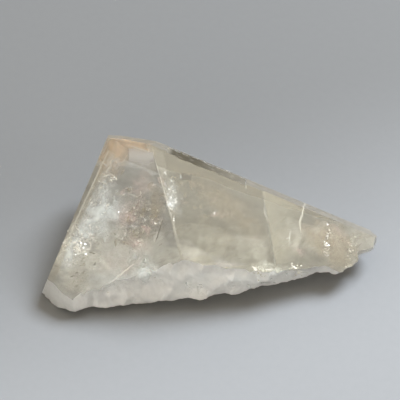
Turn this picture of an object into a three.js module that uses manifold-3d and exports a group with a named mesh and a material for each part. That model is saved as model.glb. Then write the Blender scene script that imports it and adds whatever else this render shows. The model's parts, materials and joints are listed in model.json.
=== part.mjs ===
// A pale topaz crystal, broken off its matrix and lying on its rough underside.
// Flat growth faces and one flat cleavage face meet along the top, and shell-like fractures with
// small cleavage ledges make the front wall, the underside and the tip. Millimetres, +Z up.
// X runs along the crystal to its tip, and the broken front wall faces -Y.
import * as THREE from "three";
import { mergeVertices } from "three/addons/utils/BufferGeometryUtils.js";
import Module from "manifold-3d";

// The peak is the corner where the front, left and crest faces meet. Places below are measured
// from the crystal's lower left corner, before the whole is centred over its base.
const PEAK = [15.9, 19.1, 17.0];

// The long axis of the prism falls towards the tip.
const AXIS_AZIMUTH = -14.6;
const AXIS_DIP = 18.1;

// Prism faces all hold the long axis. Each is turned about it from the front face, and is so wide.
const FRONT_FACE = { azimuth: -64.2, tilt: 26.8 };
const CREST = { turn: -56, width: 3.0 };
const BACK = { turn: -104, width: 9.0, groove: 0.14, pitch: 0.75, salt: 3 };
const LOWER_BACK = { turn: -138, groove: 0.12, pitch: 0.9, salt: 5 };

// Flat faces at the thick end, each by the way it faces, its tilt from level and a point on it.
const LEFT_FACE = { azimuth: -109.4, tilt: 31.5, point: PEAK };
const LEFT_BEVEL = { azimuth: -147.2, tilt: 34.9, point: [10.45, 20.2, 16.5] };
const CLEAVAGE_FACE = { azimuth: 163.2, tilt: 74.1, point: [-0.2, 2.4, 3.6] };
const SHOULDER_FACE = { azimuth: 81, tilt: 38.8, point: PEAK };

// Broken walls: the mean plane of each, and a point on it.
const FRONT_WALL = { azimuth: -85.5, tilt: 72, point: [15.5, 1.45, 5.0] };
const FRONT_WALL_RIGHT = { azimuth: -81, tilt: 84, point: [40.8, 3.95, 4.2] };
const SHOULDER_WALL = { azimuth: 88, tilt: 82, point: [13.0, 22.6, 14.8] };
const BELLY_LEFT = { azimuth: 172, tilt: 177.5, point: [17.0, 10.0, 0.1] };
const BELLY_RIGHT = { azimuth: -8, tilt: 173, point: [17.0, 10.0, 0.1] };
const BELLY_BACK = { azimuth: 84, tilt: 140, point: [20.0, 18.5, 3.5] };
const BELLY_FRONT = { azimuth: -77, tilt: 156, point: [20.0, 2.8, 1.55] };
const TIP_BREAK = { azimuth: 14, tilt: 80, point: [50.2, 9.4, 5.0] };
const TIP_LOWER_BREAK = { azimuth: -38, tilt: 86, point: [46.8, 6.4, 4.3] };

// The tip stands out as a small nub, because a piece has broken off beside it.
const TIP_NOTCH = { azimuth: -72, tilt: 92, point: [51.7, 9.6, 4.6], length: 9 };

// Scars on the broken walls: how far apart, how round, how unlike in depth.
const WIDE_SCARS = { spacing: 5.5, curve: 9, uneven: 0.5, salt: 11 };
const MIDDLE_SCARS = { spacing: 3.4, curve: 5.5, uneven: 0.3, salt: 23 };
const SMALL_SCARS = { spacing: 1.5, curve: 3.4, uneven: 0.12, salt: 37 };

// Cleavage steps: how far apart and high, and how their lines wander in two waves.
const CLEAVAGE_STEPS = { spacing: 2.1, height: 0.26, wander: 0.5, slow: 0.9, quick: 2.3, salt: 5 };

// The side of a facet on the walls, the belly, the crest's bruise and the corner chips.
const WALL_CELL = 0.62;
const BELLY_CELL = 0.8;
const CREST_CELL = 0.4;
const CHIP_CELL = 1.5;

// Wide shallow scoops in the two front walls, centred on the point that each wall is given by.
const FRONT_SCOOP = { depth: 0.5, reach: 7 };
const RIGHT_SCOOP = { depth: 1.2, reach: 6.5 };

// Smooth round chips at the lower left corner, and how they bow out.
const CORNER_CHIP = { azimuth: -92, tilt: 73, point: [6.0, -0.7, 2.0], bow: 0.3, reach: 3 };
const CORNER_TRIM = { azimuth: -127, tilt: 80, point: [1.9, 0.6, 1.5], bow: 0.4, reach: 1.5 };

// Growth ledges on the front face. Each runs through a place given along and across the face from
// the peak, and the face is lower past it.
const FRONT_LEDGES = [
  { along: 18.0, across: 0.4, heading: -60, depth: 0.2 },
  { along: 25.1, across: 0.6, heading: -77, depth: 0.36 },
];

// The crest is bruised next to the peak: a long shallow patch of small scars, never under a least depth.
const CREST_CHIP = { along: 9.1, length: 12.9, across: 1.2, depth: 0.05, scarDepth: 0.1 };

// The belly is worn level here, so that the crystal rests on a small flat spot.
const REST_HEIGHT = 0.45;

// The block that everything is cut from, and how far a cutter reaches.
const BLOCK = { size: [64, 40, 30], corner: [-6, -8, -4] };
const CUTTER_SPAN = 90;
const CUTTER_DEPTH = 30;

// Under this, the share of the long axis that lies in a face is too small to set its local X by.
const SQUARE_ENOUGH = 0.3;

const TOPAZ_COLOUR = 0xc9c0a8;
const TOPAZ_ROUGHNESS = 0.18;

const wasm = await Module();
wasm.setup();

/** A closed three.js geometry as a solid for joining and cutting. */
function solidOf(geometry) {
  const bare = geometry.clone();
  bare.deleteAttribute("normal");
  bare.deleteAttribute("uv");
  const merged = mergeVertices(bare, 1e-4);
  return new wasm.Manifold(
    new wasm.Mesh({
      numProp: 3,
      vertProperties: new Float32Array(merged.attributes.position.array),
      triVerts: new Uint32Array(merged.index.array),
    }),
  );
}

/** A solid as a three.js geometry again. */
function geometryOf(solid) {
  const mesh = solid.getMesh();
  const geometry = new THREE.BufferGeometry();
  geometry.setAttribute("position", new THREE.Float32BufferAttribute(mesh.vertProperties, 3));
  geometry.setIndex(Array.from(mesh.triVerts));
  geometry.computeVertexNormals();
  return geometry;
}

/** The unit vector that points to a compass azimuth and leans from +Z by tilt, both in degrees. */
function facing({ azimuth, tilt }) {
  const a = THREE.MathUtils.degToRad(azimuth);
  const t = THREE.MathUtils.degToRad(tilt);
  return new THREE.Vector3(Math.sin(t) * Math.cos(a), Math.sin(t) * Math.sin(a), Math.cos(t));
}

const peak = new THREE.Vector3(...PEAK);
const longAxis = facing({ azimuth: AXIS_AZIMUTH, tilt: 90 + AXIS_DIP });

/** The outward normal of a prism face, turned about the long axis from the front face. */
function prismNormal(turn) {
  return facing(FRONT_FACE).applyAxisAngle(longAxis, THREE.MathUtils.degToRad(turn));
}

/**
 * A frame on a face: local Z is its outward normal and local X runs along the long axis,
 * or along +Y where the face is nearly square to that axis.
 */
function faceFrame(normal, point) {
  const z = normal.clone().normalize();
  const x = longAxis.clone().addScaledVector(z, -longAxis.dot(z));
  if (x.length() < SQUARE_ENOUGH) x.set(0, 1, 0).addScaledVector(z, -z.y);
  x.normalize();
  const y = new THREE.Vector3().crossVectors(z, x);
  return new THREE.Matrix4().makeBasis(x, y, z).setPosition(point);
}

/**
 * A slab that takes off all that is outside a face, or only a patch of the given spans.
 * relief(u, v) is how far the face lies below its mean plane.
 */
function cutter(normal, point, options = {}) {
  const { relief, cellsU = 1, cellsV = 1, spanU = CUTTER_SPAN, spanV = CUTTER_SPAN } = options;
  const slab = new THREE.BoxGeometry(spanU, spanV, CUTTER_DEPTH, cellsU, cellsV, 1);
  slab.translate(0, 0, CUTTER_DEPTH / 2);
  const place = slab.attributes.position;
  for (let i = 0; relief && i < place.count; i++) {
    if (place.getZ(i) < CUTTER_DEPTH / 2) place.setZ(i, -relief(place.getX(i), place.getY(i)));
  }
  return solidOf(slab.applyMatrix4(faceFrame(normal, point)));
}

/** A cutter for a face that is given by azimuth, tilt and point. */
function faceCutter(face, options) {
  return cutter(facing(face), new THREE.Vector3(...face.point), options);
}

/** One number from 0 to 1 for a cell of a grid, the same each time. */
function hash(i, j, salt) {
  const s = Math.sin(i * 127.1 + j * 311.7 + salt * 74.7) * 43758.5453;
  return s - Math.floor(s);
}

/** Shell-like scars: the deepest of many shallow bowls, so that sharp ridges stand between them. */
function scars(u, v, { spacing, curve, uneven, salt }) {
  const ci = Math.floor(u / spacing);
  const cj = Math.floor(v / spacing);
  let deepest = -Infinity;
  for (let i = ci - 2; i <= ci + 2; i++) {
    for (let j = cj - 2; j <= cj + 2; j++) {
      const du = u - (i + hash(i, j, salt)) * spacing;
      const dv = v - (j + hash(i, j, salt + 1)) * spacing;
      const bowl = uneven * hash(i, j, salt + 2) - (du * du + dv * dv) / (2 * curve);
      deepest = Math.max(deepest, bowl);
    }
  }
  return deepest;
}

/** Cleavage ledges square to the long axis: small saw teeth whose lines wander a little. */
function ledges(u, v, { spacing, height, wander, slow, quick, salt }) {
  const bent = u + wander * (Math.sin(v * slow + salt) + 0.4 * Math.sin(v * quick + 2 * salt));
  const step = Math.floor(bent / spacing);
  const share = bent / spacing - step;
  return height * (0.4 + 0.6 * hash(step, 0, salt)) * share;
}

/** A broken wall with scars in two sizes. extra(u, v) lowers it further. */
function brokenWall(face, cell, large, extra = () => 0) {
  const cells = Math.round(CUTTER_SPAN / cell);
  const relief = (u, v) => scars(u, v, large) + scars(u, v, SMALL_SCARS) + extra(u, v);
  return faceCutter(face, { relief, cellsU: cells, cellsV: cells });
}

/** One of the two front walls, with cleavage steps and a wide scoop. */
function frontWall(face, scoop) {
  const scooped = (u) => scoop.depth * Math.exp(-((u / scoop.reach) ** 2));
  const extra = (u, v) => ledges(u, v, CLEAVAGE_STEPS) + scooped(u);
  return brokenWall(face, WALL_CELL, MIDDLE_SCARS, extra);
}

/** A prism face with growth grooves along the long axis, which differ in depth. */
function groovedFace({ turn, groove, pitch, salt }, point) {
  const relief = (u, v) => groove * hash(Math.floor(v / pitch), 1, salt);
  return cutter(prismNormal(turn), point, { relief, cellsV: Math.round(CUTTER_SPAN / pitch) });
}

/** The growth and cleavage faces, as a list of cutters. */
function flatFaces() {
  const crest = prismNormal(CREST.turn);
  const backEdge = peak.clone().add(downFace(crest, CREST.width));
  const lowerEdge = backEdge.clone().add(downFace(prismNormal(BACK.turn), BACK.width));
  return [
    cutter(prismNormal(0), peak),
    cutter(crest, peak),
    groovedFace(BACK, backEdge),
    groovedFace(LOWER_BACK, lowerEdge),
    ...[LEFT_FACE, LEFT_BEVEL, CLEAVAGE_FACE, SHOULDER_FACE].map((face) => faceCutter(face)),
  ];
}

/** A step of the given length down a prism face, square to the long axis. */
function downFace(normal, length) {
  return new THREE.Vector3().crossVectors(normal, longAxis).multiplyScalar(length);
}

/** The broken walls, as a list of cutters. */
function brokenWalls() {
  return [
    frontWall(FRONT_WALL, FRONT_SCOOP),
    frontWall(FRONT_WALL_RIGHT, RIGHT_SCOOP),
    brokenWall(SHOULDER_WALL, BELLY_CELL, WIDE_SCARS),
    brokenWall(BELLY_LEFT, BELLY_CELL, WIDE_SCARS),
    brokenWall(BELLY_RIGHT, BELLY_CELL, WIDE_SCARS),
    brokenWall(BELLY_BACK, BELLY_CELL, WIDE_SCARS),
    brokenWall(BELLY_FRONT, BELLY_CELL, MIDDLE_SCARS),
    brokenWall(TIP_BREAK, WALL_CELL, MIDDLE_SCARS),
    brokenWall(TIP_LOWER_BREAK, WALL_CELL, MIDDLE_SCARS),
    tipNotch(TIP_NOTCH),
    cornerChip(CORNER_CHIP),
    cornerChip(CORNER_TRIM),
  ];
}

/** A smooth round chip at the lower left corner. */
function cornerChip(chip) {
  const cells = Math.round(CUTTER_SPAN / CHIP_CELL);
  const relief = (u, v) => chip.bow * (Math.hypot(1, u / chip.reach, v / chip.reach) - 1);
  return faceCutter(chip, { relief, cellsU: cells, cellsV: cells });
}

/** A growth ledge: a cutter with a straight side across the front face and a floor parallel to it. */
function frontLedge({ along, across, heading, depth }) {
  const normal = prismNormal(0);
  const frame = faceFrame(normal, peak);
  const half = CUTTER_SPAN / 2;
  const slab = new THREE.BoxGeometry(CUTTER_SPAN, CUTTER_SPAN, CUTTER_DEPTH);
  slab.translate(half, 0, CUTTER_DEPTH / 2 - depth);
  slab.rotateZ(THREE.MathUtils.degToRad(heading + 90));
  slab.translate(along, across, 0);
  return solidOf(slab.applyMatrix4(frame));
}

/** The bruise along the crest: a shallow scarred patch with a small jog at each end. */
function crestChip({ along, length, across, depth, scarDepth }) {
  const normal = prismNormal(CREST.turn);
  const point = peak.clone().addScaledVector(longAxis, along).add(downFace(normal, across));
  const relief = (u, v) => depth + Math.max(0, scars(u, v, SMALL_SCARS) + scarDepth);
  const width = CREST.width;
  return cutter(normal, point, {
    relief,
    spanU: length,
    spanV: width,
    cellsU: Math.round(length / CREST_CELL),
    cellsV: Math.round(width / CREST_CELL),
  });
}

/** The notch that leaves the tip as a nub. */
function tipNotch(notch) {
  const relief = (u, v) => scars(u, v, SMALL_SCARS);
  return faceCutter(notch, {
    relief,
    spanU: notch.length,
    cellsU: Math.round(notch.length / WALL_CELL),
    cellsV: Math.round(CUTTER_SPAN / WALL_CELL),
  });
}

/** The crystal as one solid. */
function crystalSolid() {
  const block = new THREE.BoxGeometry(...BLOCK.size);
  block.translate(...BLOCK.size.map((side, i) => side / 2 + BLOCK.corner[i]));
  const rest = new THREE.Vector3(0, 0, REST_HEIGHT);
  const tools = [
    ...flatFaces(),
    ...FRONT_LEDGES.map(frontLedge),
    crestChip(CREST_CHIP),
    ...brokenWalls(),
    cutter(new THREE.Vector3(0, 0, -1), rest),
  ];
  return tools.reduce((solid, tool) => solid.subtract(tool), solidOf(block));
}

/** Sets a geometry over its own base: the middle of its box in X and Y, and its lowest point in Z. */
function overBase(geometry) {
  geometry.computeBoundingBox();
  const { min, max } = geometry.boundingBox;
  return geometry.translate(-(min.x + max.x) / 2, -(min.y + max.y) / 2, -min.z);
}

const crystal = new THREE.Mesh(
  overBase(geometryOf(crystalSolid())),
  new THREE.MeshStandardMaterial({ color: TOPAZ_COLOUR, roughness: TOPAZ_ROUGHNESS, metalness: 0 }),
);
crystal.name = "topaz_crystal";

const part = new THREE.Group();
part.add(crystal);

export default part;
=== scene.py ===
"""A pale topaz crystal, seen as a clear stone lying on its rough underside.

The crystal is one closed piece of glassy material. Its growth faces stay flat, its broken walls are
frosted and finely stepped, and cracks and cloudy veils hang inside it. Lengths are in metres.
"""

import json
import logging
import math
import random
from dataclasses import dataclass, field
from enum import Enum

import bmesh
import bpy
from mathutils import Matrix, Vector, noise
from mathutils.bvhtree import BVHTree

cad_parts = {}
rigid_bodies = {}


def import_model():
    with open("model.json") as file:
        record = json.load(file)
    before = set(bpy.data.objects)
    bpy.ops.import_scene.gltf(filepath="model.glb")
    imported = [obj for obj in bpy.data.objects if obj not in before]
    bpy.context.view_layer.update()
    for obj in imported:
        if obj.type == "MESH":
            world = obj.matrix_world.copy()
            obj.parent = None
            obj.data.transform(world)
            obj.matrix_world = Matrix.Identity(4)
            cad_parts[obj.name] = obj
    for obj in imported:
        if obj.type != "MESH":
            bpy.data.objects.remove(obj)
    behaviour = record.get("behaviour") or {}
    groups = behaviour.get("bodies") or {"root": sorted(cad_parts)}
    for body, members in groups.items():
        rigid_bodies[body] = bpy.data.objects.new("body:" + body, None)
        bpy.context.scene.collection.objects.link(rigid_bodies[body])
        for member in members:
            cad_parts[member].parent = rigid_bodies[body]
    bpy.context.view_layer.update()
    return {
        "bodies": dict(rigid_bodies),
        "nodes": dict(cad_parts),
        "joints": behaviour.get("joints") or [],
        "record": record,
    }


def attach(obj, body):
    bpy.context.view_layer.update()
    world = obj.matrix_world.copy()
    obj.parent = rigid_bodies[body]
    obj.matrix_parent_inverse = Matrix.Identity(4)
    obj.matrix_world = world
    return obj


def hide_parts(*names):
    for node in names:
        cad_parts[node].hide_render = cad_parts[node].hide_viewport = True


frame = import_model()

MM = 0.001

LOG = logging.getLogger("topaz")

Pair = tuple[float, float]
Triple = tuple[float, float, float]
Corners = tuple[Pair, ...]
Spots = tuple[Triple, ...]


def facing(azimuth: float, tilt: float) -> Vector:
    """The unit vector that points to a compass azimuth and leans from +Z by a tilt.

    Args:
        azimuth: Degrees from +X towards +Y.
        tilt: Degrees from +Z.

    Returns:
        The unit vector.
    """
    a, t = math.radians(azimuth), math.radians(tilt)
    return Vector((math.sin(t) * math.cos(a), math.sin(t) * math.sin(a), math.cos(t)))


def fixed(x: float, y: float, z: float, scale: float = 1.0) -> Vector:
    """A dataclass field whose default is a vector.

    Args:
        x: Its X.
        y: Its Y.
        z: Its Z.
        scale: What all three are multiplied by.

    Returns:
        The field.
    """
    return field(default_factory=lambda: Vector((x, y, z)) * scale)


AXIS_AZIMUTH = -14.6
AXIS_TILT = 108.1
LONG_AXIS = facing(AXIS_AZIMUTH, AXIS_TILT)


def clamp(value: float) -> float:
    """Holds a value between 0 and 1.

    Args:
        value: The value.

    Returns:
        The held value.
    """
    return min(1.0, max(0.0, value))


def next_on(ring: list | tuple) -> list | tuple:
    """Turns a ring on by one place, so that each item meets the one after it.

    Args:
        ring: The ring.

    Returns:
        The turned ring.
    """
    return ring[1:] + ring[:1]


def placed(name: str, data: bpy.types.ID) -> bpy.types.Object:
    """Puts an object into the scene.

    Args:
        name: Its name.
        data: Its mesh, lamp or camera.

    Returns:
        The object.
    """
    made = bpy.data.objects.new(name, data)
    bpy.context.scene.collection.objects.link(made)
    return made


class Shade:
    """A node socket that takes part in arithmetic: each operator adds one Math node."""

    def __init__(self, tree: bpy.types.NodeTree, socket: bpy.types.NodeSocket) -> None:
        """Keeps the tree and the socket."""
        self.tree = tree
        self.socket = socket

    def math(self, operation: str, *values: "Shade | float") -> "Shade":
        """Adds a Math node.

        Args:
            operation: The node's operation, such as MULTIPLY.
            values: What goes into its sockets, in order.

        Returns:
            The node's value.
        """
        node = self.tree.nodes.new("ShaderNodeMath")
        node.operation = operation
        for socket, value in zip(node.inputs, values):
            if isinstance(value, Shade):
                self.tree.links.new(value.socket, socket)
            else:
                socket.default_value = value
        return Shade(self.tree, node.outputs[0])

    def __add__(self, other: "Shade | float") -> "Shade":
        """self + other."""
        return self.math("ADD", self, other)

    def __radd__(self, other: float) -> "Shade":
        """other + self."""
        return self.math("ADD", other, self)

    def __sub__(self, other: "Shade | float") -> "Shade":
        """self - other."""
        return self.math("SUBTRACT", self, other)

    def __rsub__(self, other: float) -> "Shade":
        """other - self."""
        return self.math("SUBTRACT", other, self)

    def __mul__(self, other: "Shade | float") -> "Shade":
        """self * other."""
        return self.math("MULTIPLY", self, other)

    def __rmul__(self, other: float) -> "Shade":
        """other * self."""
        return self.math("MULTIPLY", other, self)

    def __truediv__(self, other: "Shade | float") -> "Shade":
        """self / other."""
        return self.math("DIVIDE", self, other)

    def clamped(self) -> "Shade":
        """The value held between 0 and 1."""
        return self.math("MINIMUM", self.math("MAXIMUM", self, 0.0), 1.0)


class Nodes:
    """A node tree, built through one method for every node that isn't arithmetic."""

    def __init__(self, tree: bpy.types.NodeTree, output: str) -> None:
        """Empties the tree and gives it its output node.

        Args:
            tree: The tree.
            output: The output node's type without its ShaderNode prefix.
        """
        self.tree = tree
        self.tree.nodes.clear()
        self.output = self.tree.nodes.new("ShaderNode" + output)

    def node(
        self, kind: str, out: int | str = 0, *, settings: dict | None = None, **sockets: object
    ) -> Shade:
        """Adds a node, sets it up and fills its sockets.

        Args:
            kind: The node's type without its ShaderNode prefix.
            out: Which output to hand back, by place or name.
            settings: Settings of the node, set first.
            sockets: Values or links of its inputs, by name with _ for spaces, or by iN for place N.

        Returns:
            The chosen output.
        """
        made = self.tree.nodes.new("ShaderNode" + kind)
        for name, value in (settings or {}).items():
            setattr(made, name, value)
        for name, value in sockets.items():
            place = int(name[1:]) if name[0] == "i" and name[1:].isdigit() else name.replace("_", " ")
            socket = made.inputs[place]
            if isinstance(value, Shade):
                self.tree.links.new(value.socket, socket)
            else:
                socket.default_value = value
        return Shade(self.tree, made.outputs[out])

    def vector(self, operation: str, out: str = "Vector", **sockets: object) -> Shade:
        """Adds a Vector Math node.

        Args:
            operation: The node's operation.
            out: Which output to hand back.
            sockets: What goes into its sockets.

        Returns:
            The chosen output.
        """
        return self.node("VectorMath", out, settings={"operation": operation}, **sockets)

    def finish(self, surface: Shade, volume: Shade | None = None) -> None:
        """Links the shaders to the output.

        Args:
            surface: The surface shader.
            volume: The volume shader, if it has one.
        """
        self.tree.links.new(surface.socket, self.output.inputs["Surface"])
        if volume:
            self.tree.links.new(volume.socket, self.output.inputs["Volume"])


class Material(Nodes):
    """A material and its node tree."""

    def __init__(self, name: str) -> None:
        """Starts the material.

        Args:
            name: The material's name.
        """
        self.data = bpy.data.materials.new(name)
        self.data.use_nodes = True
        super().__init__(self.data.node_tree, "OutputMaterial")

    def place(self) -> Shade:
        """Where a point of the surface is, in the object's own metres."""
        return self.node("TexCoord", "Object")

    def stored(self, name: str, out: str = "Fac") -> Shade:
        """What the mesh stores under a name.

        Args:
            name: The attribute's name.
            out: Which output of the node to read.

        Returns:
            The value.
        """
        return self.node("Attribute", out, settings={"attribute_name": name})

    def clouds(self, scale: float, detail: float = 3.0, distortion: float = 0.0) -> Shade:
        """Noise through space.

        Args:
            scale: Clouds per metre.
            detail: Octaves.
            distortion: How far the noise bends itself.

        Returns:
            A value about 0.5.
        """
        return self.node(
            "TexNoise", "Fac", Vector=self.place(), Scale=scale, Detail=detail, Distortion=distortion
        )


@dataclass(frozen=True)
class TopazFinish:
    """Clear topaz: a faint warm tint, polished growth faces and frosted broken walls."""

    name: str = "topaz"
    ior: float = 1.62
    clearness: float = 0.86
    tint: Triple = (0.87, 0.78, 0.42)
    density: float = 18.0
    polish: float = 0.13
    frost: float = 0.7
    frost_least: float = 0.7
    frost_swing: float = 0.6
    mottle: float = 0.16
    mottle_from: float = 0.6
    grain: Triple = (2600.0, 5.0, 0.6)
    patches: Pair = (420.0, 3.0)
    frost_depth: float = 0.035 * MM
    striation_depth: float = 0.004 * MM
    striation_scale: Triple = (60.0, 900.0, 900.0)

    def build(self) -> bpy.types.Material:
        """Makes the material.

        Returns:
            The material, with its absorption.
        """
        make = Material(self.name)
        broken = make.stored(CrystalBody.BROKEN)
        grain = make.clouds(*self.grain)
        patches = make.clouds(*self.patches)
        smooth = self.polish * (0.5 + patches)
        frosted = self.frost * (self.frost_least + self.frost_swing * patches)
        rough = smooth + broken * (frosted - smooth)
        shade = 1.0 - self.mottle * (patches + grain - self.mottle_from).clamped()
        # The skin colour holds painted light and shade: tones by face, the shade under the crest and on
        # the underside.
        colour = make.vector("SCALE", i0=make.stored(CrystalBody.SKIN, "Color"), Scale=shade)
        height = broken * grain * self.frost_depth + self.growth_lines(make) * (1.0 - broken)
        surface = make.node(
            "BsdfPrincipled",
            Base_Color=colour,
            Metallic=make.stored(CrystalBody.SKIN, "Alpha"),
            Roughness=rough.clamped(),
            IOR=self.ior,
            Transmission_Weight=self.clearness,
            Normal=make.node("Bump", "Normal", Strength=1.0, Distance=1.0, Height=height),
        )
        volume = make.node("VolumeAbsorption", Color=(*self.tint, 1.0), Density=self.density)
        make.finish(surface, volume)
        return make.data

    def growth_lines(self, make: Material) -> Shade:
        """Faint growth lines along the crystal's length, as a height in metres.

        Args:
            make: The material being built.

        Returns:
            The height.
        """
        turned = make.node(
            "Mapping",
            Vector=make.place(),
            Rotation=(0.0, math.radians(90.0 - AXIS_TILT), math.radians(-AXIS_AZIMUTH)),
            Scale=self.striation_scale,
        )
        lines = make.node("TexNoise", "Fac", Vector=turned, Scale=1.0, Detail=2.0)
        return lines * self.striation_depth


@dataclass(frozen=True)
class FloorFinish:
    """A matt pale grey surface with a fine grain, and a painted falloff of light: its colour is lighter
    towards the front and right and darker towards the back and left.
    """

    name: str = "pale_floor"
    # near and far: the lighter and darker ends of the painted falloff of light.
    near: Vector = fixed(0.243, 0.249, 0.255)
    far: Vector = fixed(0.135, 0.136, 0.134)
    speckle: float = 0.03
    grain: Pair = (900.0, 4.0)
    roughness: float = 0.75
    painted_falloff: Vector = fixed(0.35, -1.0, 0.0)
    painted_falloff_reach: float = 0.03

    def build(self) -> bpy.types.Material:
        """Makes the material.

        Returns:
            The material.
        """
        make = Material(self.name)
        grain = make.clouds(*self.grain)
        # Painted falloff of light: how far a point lies towards the front right.
        lean = make.vector("DOT_PRODUCT", "Value", i0=make.place(), i1=self.painted_falloff)
        painted_falloff = make.node(
            "MapRange",
            settings={"interpolation_type": "SMOOTHSTEP"},
            Value=lean,
            From_Min=-self.painted_falloff_reach,
            From_Max=self.painted_falloff_reach,
        )
        plain = make.vector("MULTIPLY_ADD", i0=painted_falloff, i1=self.near - self.far, i2=self.far)
        shade = 1.0 - self.speckle + 2.0 * self.speckle * grain
        colour = make.vector("SCALE", i0=plain, Scale=shade)
        make.finish(make.node("BsdfPrincipled", Base_Color=colour, Roughness=self.roughness))
        return make.data


class Kind(Enum):
    """What an inner feature is made of."""

    CLOUD = "cloud"
    STAIN = "stain"
    AMBER = "amber"
    BLUSH = "blush"
    PANE = "pane"
    CREAM = "cream"
    WHITE = "white_crack"
    DARK = "dark_crack"


@dataclass(frozen=True)
class InclusionFinish:
    """A thin patchy layer inside the stone, seen through wherever its clouds leave it open."""

    DETAIL = 5.0
    DISTORTION = 0.4

    colour: Triple
    strength: float
    cloud_size: float
    low: float
    high: float
    roughness: float = 0.55
    metal: float = 0.0

    def build(self, kind: Kind) -> bpy.types.Material:
        """Makes the material.

        Args:
            kind: What it is for.

        Returns:
            The material.
        """
        make = Material(kind.value)
        fade = make.stored(Layer.FADE)
        clouds = make.clouds(1.0 / self.cloud_size, self.DETAIL, self.DISTORTION)
        cover = ((clouds - self.low) / (self.high - self.low)).clamped()
        surface = make.node(
            "BsdfPrincipled",
            Base_Color=(*self.colour, 1.0),
            Roughness=self.roughness,
            Metallic=self.metal,
            Alpha=(cover * fade * self.strength).clamped(),
        )
        make.finish(surface)
        return make.data


FINISHES = {
    Kind.CLOUD: InclusionFinish((0.96, 1.0, 0.985), 1.0, 2.2 * MM, 0.25, 0.70, 0.5, 0.4),
    Kind.STAIN: InclusionFinish((0.46, 0.39, 0.26), 0.66, 1.5 * MM, 0.28, 0.72),
    Kind.AMBER: InclusionFinish((0.76, 0.56, 0.34), 0.7, 3.0 * MM, 0.10, 0.7),
    Kind.BLUSH: InclusionFinish((0.90, 0.70, 0.62), 0.34, 1.2 * MM, 0.25, 0.65),
    # Also the pale painted reflection along the foot of the front face.
    Kind.PANE: InclusionFinish((0.93, 0.90, 0.89), 0.6, 3.0 * MM, 0.05, 0.40),
    # Also the pale painted reflection along the left edge.
    Kind.CREAM: InclusionFinish((0.94, 0.91, 0.78), 0.6, 3.0 * MM, 0.05, 0.40),
    Kind.WHITE: InclusionFinish((0.98, 0.95, 0.87), 1.0, 0.5 * MM, 0.15, 0.45, 0.25, 0.5),
    Kind.DARK: InclusionFinish((0.16, 0.14, 0.11), 0.9, 0.6 * MM, 0.20, 0.50),
}


class Zone(Enum):
    """The parts of the crystal's skin, each by the colour that it passes. Over the stone's own pale tint,
    the front is tinted yellower, the left lighter and the crest darker as painted light and shade.
    """

    FRONT = (0.97, 0.925, 0.78)
    LEFT = (0.99, 0.985, 0.945)
    CREST = (0.85, 0.77, 0.63)
    # Painted shade: the dark mottled band under the crest.
    BRUISE = (0.075, 0.06, 0.028)
    BACK = (0.93, 0.89, 0.80)
    SHOULDER = (0.93, 0.78, 0.57)
    WALL = (1.0, 1.0, 0.995)
    # Darkened grey: painted shade on the underside.
    BELLY = (0.57, 0.56, 0.54)


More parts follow.
